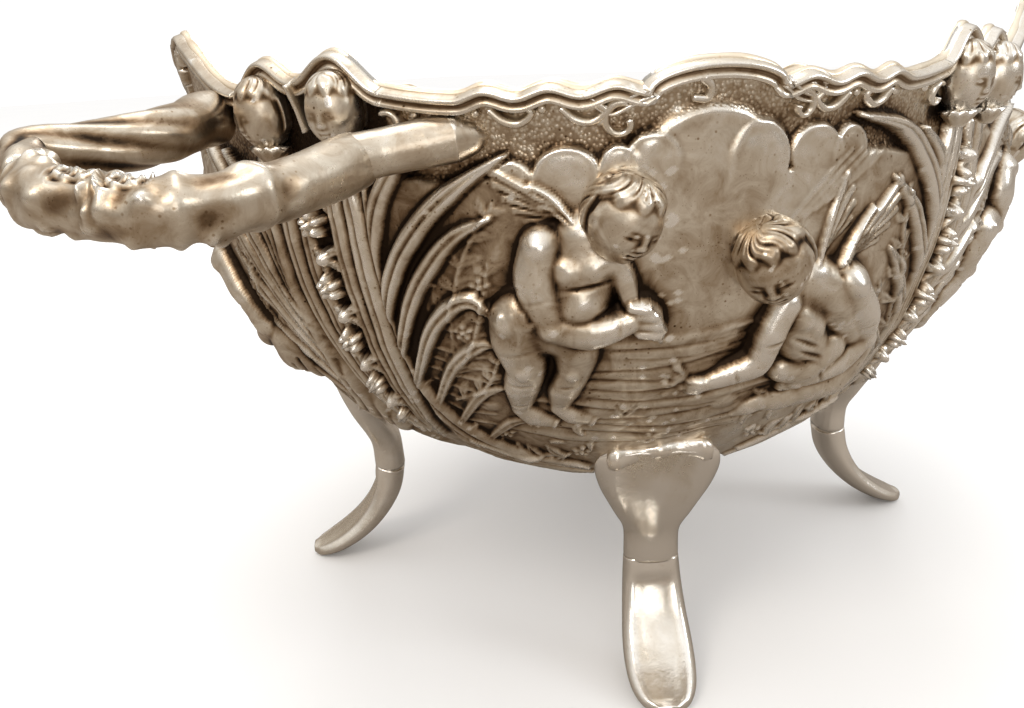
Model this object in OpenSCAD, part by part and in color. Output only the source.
// Small rococo silver sauce boat: a four-lobed bowl on four soldered legs, with an applied scroll border
// round the rim, a pair of cherub heads under each corner arch, and one branch handle.
// The part stands on z = 0. +Z is up, and the handle reaches out along -X.

/* [Bowl] */
// Half length of the bowl along the handle axis, at the top of the wall
bowl_a = 66.5; // [60:0.5:72]
// Half width of the bowl across the handle axis
bowl_b = 58.5; // [54:0.5:66]
// Extra fullness of the four lobes, as a share of the radius
lobe_fullness = 0.065; // [0:0.005:0.1]
// Height of the underside of the bowl
base_z = 20; // [18:0.5:23]
// Height where the wall ends and the flared lip starts
wall_z = 79; // [76:0.5:80]
// Thickness of the raised sheet
sheet = 1; // [0.8:0.1:1.6]
// How far the lip flares out beyond the wall
flare = 1.8; // [1.5:0.1:4]

/* [Rim] */
// Height of the rim line at the front lobe
rim_z = 86; // [84:0.5:87]
// How much lower the rim is at the back lobe
rim_drop = 5.5; // [0:0.5:6]
// How much gentler the rises of the rim are at the back than at the front, as a share
back_ease = 0.55; // [0:0.05:0.7]
// Rise of the rim at each corner
corner_lift = 3; // [2:0.5:5]
// Height of each small arch over a cherub head
arch_rise = 3.2; // [2:0.2:4]
// Height of the large C-scroll in the middle of each lobe
scroll_rise = 2.4; // [2:0.2:5]
// Height of the small waves beside the C-scroll
wave_rise = 0.8; // [0.5:0.1:2]
// Height of the two raised points on the left and right lobes
point_rise = 9.5; // [4:0.5:11]
// Depth of the applied border strip
border_depth = 2.3; // [1.6:0.1:3]
// Thickness of the applied border strip
border_thick = 2; // [1.6:0.1:3]

/* [Legs] */
// Distance of each foot pad from the bowl's axis
foot_reach = 56; // [52:0.5:60]
// Direction of the legs from the handle axis, in degrees
leg_angle = 42.5; // [40:0.5:50]
// Width of the spoon-shaped foot
foot_w = 10.2; // [8:0.2:12]
// Width of the scrolled plate at the top of a leg
knee_w = 17.5; // [14:0.5:20]

/* [Handle] */
// Distance from the bowl's axis to the middle of the handle's outer bend
handle_reach = 100; // [96:0.2:106]
// Half width of the handle loop
handle_half_w = 14.6; // [12:0.2:17]
// Radius of the branches that form the handle
branch_r = 3.1; // [2.6:0.1:3.6]

/* [Hidden] */

// The bowl's axis stands this far from the origin, so that the origin is under the middle of the whole part.
bowl_x = 15.5;
bowl_y = 0;

// Directions from the bowl's axis, in degrees
front = 225;
right = 315;
back = 45;
left = 135;
front_left = 183;
front_right = 267;
back_right = 363;
back_left = 87;
corners = [front_left, front_right, back_right, back_left];
raised_points = [154, 296];
handle_dir = 183;

scroll_half = 6.3;
wave_pitch = 5.7;
waves = 3;
arch_half = 11;
arch_offset = 5.5;

// ---- shape of the bowl ----

function turn(a, b) = (a - b + 900) % 360 - 180;
function bump(d, w) = abs(d) < w ? (1 + cos(180 * d / w)) / 2 : 0;
function sum(v, i = 0) = i < len(v) ? v[i] + sum(v, i + 1) : 0;

// Radius of the top of the wall in direction a
function oval(a) = (1 + lobe_fullness * (1 - cos(4 * a)) / 2)
  / sqrt(pow(cos(a) / bowl_a, 2) + pow(sin(a) / bowl_b, 2));

// Share of that radius at a depth u below the top of the wall, from 0 at the top to 1 at the underside
function belly(u) = pow(max(0, 1 - pow(u, 2.19)), 0.48);

// From 0 at the front lobe to 1 at the back lobe
function backness(a) = (1 + cos(a - back)) / 2;

// Rim line without the border's small ornament
function rim_base(a) = rim_z - rim_drop * backness(a)
  + corner_lift * (1 - back_ease * backness(a)) * sum([for (c = corners) bump(turn(a, c), 20)])
  + point_rise * sum([for (c = raised_points) bump(turn(a, c), 22)]);

function arches(a) = arch_rise * sum([for (c = corners) bump(abs(turn(a, c)) - arch_offset, arch_offset)]);

// Distance in degrees from the middle of the nearest lobe
function from_lobe(a) = abs(turn(2 * (a % 90), 90)) / 2;
function scroll(d) = d < scroll_half ? scroll_rise * sqrt(1 - pow(d / scroll_half, 2)) : 0;
function wave(d) = d > scroll_half && d < scroll_half + waves * wave_pitch
  ? wave_rise * (1 - cos(360 * (d - scroll_half) / wave_pitch)) / 2 : 0;

function rim_line(a) = rim_base(a)
  + (1 - back_ease * backness(a)) * (arches(a) + scroll(from_lobe(a)) + wave(from_lobe(a)));

// ---- building blocks ----

module about_bowl() {
  translate([bowl_x, bowl_y, 0]) children();
}

// A closed solid through rings of points, with a cap at each end. Each ring turns right-handed about the way on.
module loft(rings) {
  n = len(rings[0]);
  last = len(rings) - 1;
  sides = [for (i = [0 : last - 1], j = [0 : n - 1], half = [0, 1])
    half == 0 ? [i * n + j, (i + 1) * n + j, i * n + (j + 1) % n]
    : [i * n + (j + 1) % n, (i + 1) * n + j, (i + 1) * n + (j + 1) % n]];
  start_cap = [for (j = [1 : n - 2]) [0, j, j + 1]];
  end_cap = [for (j = [1 : n - 2]) [last * n, last * n + j + 1, last * n + j]];
  polyhedron([for (r = rings) each r], concat(sides, start_cap, end_cap), convexity = 6);
}

// One oval ring: half sizes w along u and t along v, where u x v points along the path
function ring(c, u, v, w, t, n) = [for (j = [0 : n - 1])
  c + u * w * cos(360 * j / n) + v * t * sin(360 * j / n)];

function unit(v) = v / norm(v);

// A round rod along a path, with a radius at each point
function rod_side(path, i) = let (
    d = path[min(i + 1, len(path) - 1)] - path[max(i - 1, 0)]
  ) unit(cross([0, 0, 1], d));
function rod_up(path, i) = let (
    d = path[min(i + 1, len(path) - 1)] - path[max(i - 1, 0)]
  ) unit(cross(d, rod_side(path, i)));

module rod(path, radii, sides) {
  loft([for (i = [0 : len(path) - 1])
    ring(path[i], rod_side(path, i), rod_up(path, i), radii[i], radii[i], sides)]);
}

// A smooth curve through hand-picked points
function spline_at(p, i, t) = let (
    a = p[max(i - 1, 0)], b = p[i], c = p[i + 1], d = p[min(i + 2, len(p) - 1)]
  ) 0.5 * (2 * b + (c - a) * t + (2 * a - 5 * b + 4 * c - d) * t * t + (3 * b - a - 3 * c + d) * t * t * t);
function spline(p, steps) = concat(
  [for (i = [0 : len(p) - 2], k = [0 : steps - 1]) spline_at(p, i, k / steps)],
  [p[len(p) - 1]]);

// ---- bowl ----

shell_columns = 120;
wall_rows = 9;
lip_rows = 3;

function polar(r, a, z) = [r * cos(a), r * sin(a), z];

// Rows are closer together near the underside, where the wall curves most
function row_u(i) = 1 - pow(i / wall_rows, 1.5) * 0.998 - 0.002;

function outer_row(i) = [for (k = [0 : shell_columns - 1]) let (a = 360 * k / shell_columns, u = row_u(i))
  polar(oval(a) * belly(u), a, wall_z - u * (wall_z - base_z))];
function inner_row(i) = [for (k = [0 : shell_columns - 1]) let (a = 360 * k / shell_columns, u = row_u(i))
  polar((oval(a) - sheet) * belly(u), a, wall_z - u * (wall_z - base_z) + sheet * u * u)];
function lip_row(i, inset) = [for (k = [0 : shell_columns - 1]) let (
    a = 360 * k / shell_columns, s = i / lip_rows
  ) polar(oval(a) + flare * pow(s, 1.5) - inset, a, wall_z + s * (rim_line(a) - wall_z))];

module bowl_shell() {
  color("#b9a78e") about_bowl() loft(concat(
    [for (i = [0 : wall_rows]) outer_row(i)],
    [for (i = [1 : lip_rows]) lip_row(i, 0)],
    [for (i = [lip_rows : -1 : 1]) lip_row(i, sheet)],
    [for (i = [wall_rows : -1 : 0]) inner_row(i)]
  ));
}

// ---- applied border ----

border_step = 1.4;
border_sides = 6;

function border_ring(a) = let (out = [cos(a), sin(a), 0])
  ring(polar(oval(a) + flare + border_thick / 2 - 0.4, a, rim_line(a) - border_depth / 2 + 0.3),
    [0, 0, 1], out, border_depth / 2, border_thick / 2, border_sides);

module border(from, to) {
  steps = ceil((to - from) / border_step);
  color("#c9b89d") about_bowl() loft([for (i = [0 : steps]) border_ring(from + (to - from) * i / steps)]);
}

// A small curled end that hangs under the border at each end of a C-scroll
module curl(a) {
  color("#c9b89d") about_bowl() rotate(a) translate([oval(a) + flare, 0, rim_base(a) - 2.6])
    rotate([0, 90, 0]) rotate_extrude($fn = 24) translate([1.5, 0]) circle(r = 0.7, $fn = 16);
}

module border_scroll(lobe) {
  border(lobe - scroll_half, lobe + scroll_half);
  curl(lobe - scroll_half - 0.6);
  curl(lobe + scroll_half + 0.6);
}

module scroll_front() { border_scroll(front); }
module scroll_right() { border_scroll(right); }
module scroll_back() { border_scroll(back); }
module scroll_left() { border_scroll(left); }

module wave_front_left() { border(front_left + arch_half, front - scroll_half); }
module wave_front_right() { border(front + scroll_half, front_right - arch_half); }
module wave_right_front() { border(front_right + arch_half, right - scroll_half); }
module wave_right_back() { border(right + scroll_half, back_right - arch_half); }
module wave_back_right() { border(back_right - 360 + arch_half, back - scroll_half); }
module wave_back_left() { border(back + scroll_half, back_left - arch_half); }
module wave_left_back() { border(back_left + arch_half, left - scroll_half); }
module wave_left_front() { border(left + scroll_half, front_left - arch_half); }

module arch_front_left() { border(front_left - arch_half, front_left + arch_half); }
module arch_front_right() { border(front_right - arch_half, front_right + arch_half); }
module arch_back_right() { border(back_right - arch_half, back_right + arch_half); }
module arch_back_left() { border(back_left - arch_half, back_left + arch_half); }

// ---- cherub heads ----

head_r = 3.5;
head_h = 9;
head_points = 14;
head_out = 2.3;
head_lean = 7;

// A plain egg with its small end down, and a ruff under the chin. Its back is flat and lies against the lip.
module head_at(a) {
  z = rim_base(a) - 8.2;
  color("#c4b08f") about_bowl() rotate(a) translate([oval(a) + head_out, 0, z]) difference() {
    union() {
      rotate_extrude($fn = 28) polygon(concat([[0, head_h]],
        [for (i = [1 : head_points - 1]) let (t = 180 * i / head_points)
          [head_r * sin(t) * (1 + 0.12 * cos(t)), head_h / 2 * (1 + cos(t))]],
        [[0, 0]]));
      translate([-0.4, 0, -1.6]) cylinder(r1 = 1, r2 = 2.4, h = 2.2, $fn = 24);
    }
    translate([-head_out - 0.4, 0, 0]) rotate([0, head_lean, 0])
      translate([-4, -5, -4]) cube([4, 10, 16]);
  }
}

module head_front_left_1() { head_at(front_left - arch_offset); }
module head_front_left_2() { head_at(front_left + arch_offset); }
module head_front_right_1() { head_at(front_right - arch_offset); }
module head_front_right_2() { head_at(front_right + arch_offset); }
module head_back_right_1() { head_at(back_right - arch_offset); }
module head_back_right_2() { head_at(back_right + arch_offset); }
module head_back_left_1() { head_at(back_left - arch_offset); }
module head_back_left_2() { head_at(back_left + arch_offset); }

// ---- legs ----

joint_z = 17;
leg_sides = 16;
leg_dirs = [180 + leg_angle, 360 - leg_angle, leg_angle, 180 - leg_angle];

// Stations of a leg: distance from the bowl's axis, height, width and thickness
knee_stations = [
  [51, 37.5, knee_w * 0.8, 3],
  [48.6, 34.5, knee_w, 4.6],
  [46.6, 30.5, knee_w * 0.92, 5.4],
  [44.6, 26, knee_w * 0.7, 5.6],
  [43.2, 22, knee_w * 0.48, 5.4],
  [42.8, joint_z, knee_w * 0.46, 5.6]
];
foot_stations = [
  [42.8, joint_z, foot_w * 0.8, 5.4],
  [43.6, 13, foot_w * 0.86, 5.2],
  [45.6, 9.2, foot_w * 0.93, 4.6],
  [48.4, 6, foot_w, 4],
  [51.6, 3.6, foot_w, 3.4],
  [54.6, 2, foot_w * 0.9, 2.8],
  [57, 1.2, foot_w * 0.66, 2.2],
  [58.4, 0.9, foot_w * 0.3, 1.4]
];

function station_dir(s, i) = let (
    d = s[min(i + 1, len(s) - 1)] - s[max(i - 1, 0)]
  ) unit([-d[1], 0, d[0]]);

module leg_piece(s, dir) {
  about_bowl() rotate(dir) loft([for (i = [0 : len(s) - 1])
    ring([s[i][0], 0, s[i][1]], [0, 1, 0], station_dir(s, i), s[i][2] / 2, s[i][3] / 2, leg_sides)]);
}

module knee(dir) {
  color("#d2c6b2") {
    leg_piece(knee_stations, dir);
    about_bowl() rotate(dir) translate([50.4, -knee_w * 0.36, 36.4]) rotate([-90, 0, 0])
      cylinder(r = 1.8, h = knee_w * 0.72, $fn = 32);
  }
}

// The pad that meets the table is a flat disc
pad_r = 2.6;
pad_h = 1.2;
module foot(dir) {
  color("#e0d9cb") {
    leg_piece(foot_stations, dir);
    about_bowl() rotate(dir) translate([foot_reach, 0, 0]) cylinder(r = pad_r, h = pad_h, $fn = 32);
  }
}

module knee_front() { knee(leg_dirs[0]); }
module knee_right() { knee(leg_dirs[1]); }
module knee_back() { knee(leg_dirs[2]); }
module knee_left() { knee(leg_dirs[3]); }
module foot_front() { foot(leg_dirs[0]); }
module foot_right() { foot(leg_dirs[1]); }
module foot_back() { foot(leg_dirs[2]); }
module foot_left() { foot(leg_dirs[3]); }

// ---- handle ----

// Points along the handle: distance out from the bowl's axis, sideways offset, height
function handle_point(p) = [p[0] * cos(handle_dir) - p[1] * sin(handle_dir),
  p[0] * sin(handle_dir) + p[1] * cos(handle_dir), p[2]];

twig_points = [
  [72, handle_half_w * 0.92, 79.3],
  [78.6, handle_half_w * 0.98, 78.2],
  [85, handle_half_w, 77.4],
  [91.5, handle_half_w * 0.95, 77],
  [96.5, handle_half_w * 0.74, 77],
  [handle_reach - 1.6, handle_half_w * 0.4, 77.4],
  [handle_reach, 0, 78],
  [handle_reach - 0.4, -handle_half_w * 0.36, 78.8]
];
reeded_points = [
  [handle_reach - 0.5, -handle_half_w * 0.37, 78.8],
  [handle_reach - 3.4, -handle_half_w * 0.78, 80],
  [94.5, -handle_half_w * 0.98, 80.8],
  [88, -handle_half_w * 0.98, 81.2],
  [81, -handle_half_w * 0.92, 81.6],
  [75, -handle_half_w * 0.98, 82.4],
  [70.5, -handle_half_w * 1.16, 83],
  [66.8, -handle_half_w * 1.32, 83.2]
];
bracket_points = [
  [75, handle_half_w * 0.88, 79.2],
  [71, handle_half_w * 1.06, 79.8],
  [67, handle_half_w * 1.28, 80.5],
  [64.8, handle_half_w * 1.48, 81]
];
handle_sides = 12;
curve_steps = 4;

module branch(points, r_start, r_end) {
  path = spline([for (p = points) handle_point(p)], curve_steps);
  last = len(path) - 1;
  color("#bfa98a") about_bowl() rod(path, [for (i = [0 : last]) let (t = i / last)
    (r_start + (r_end - r_start) * t) * (i == 0 || i == last ? 0.75 : 1)], handle_sides);
}

module handle_twig_limb() { branch(twig_points, branch_r * 0.96, branch_r * 1.04); }
module handle_reeded_limb() { branch(reeded_points, branch_r * 1.02, branch_r * 1.15); }
module handle_bracket() { branch(bracket_points, branch_r * 0.8, branch_r * 0.66); }

bowl_shell();
scroll_front();
scroll_right();
scroll_back();
scroll_left();
wave_front_left();
wave_front_right();
wave_right_front();
wave_right_back();
wave_back_right();
wave_back_left();
wave_left_back();
wave_left_front();
arch_front_left();
arch_front_right();
arch_back_right();
arch_back_left();
head_front_left_1();
head_front_left_2();
head_front_right_1();
head_front_right_2();
head_back_right_1();
head_back_right_2();
head_back_left_1();
head_back_left_2();
knee_front();
knee_right();
knee_back();
knee_left();
foot_front();
foot_right();
foot_back();
foot_left();
handle_twig_limb();
handle_reeded_limb();
handle_bracket();
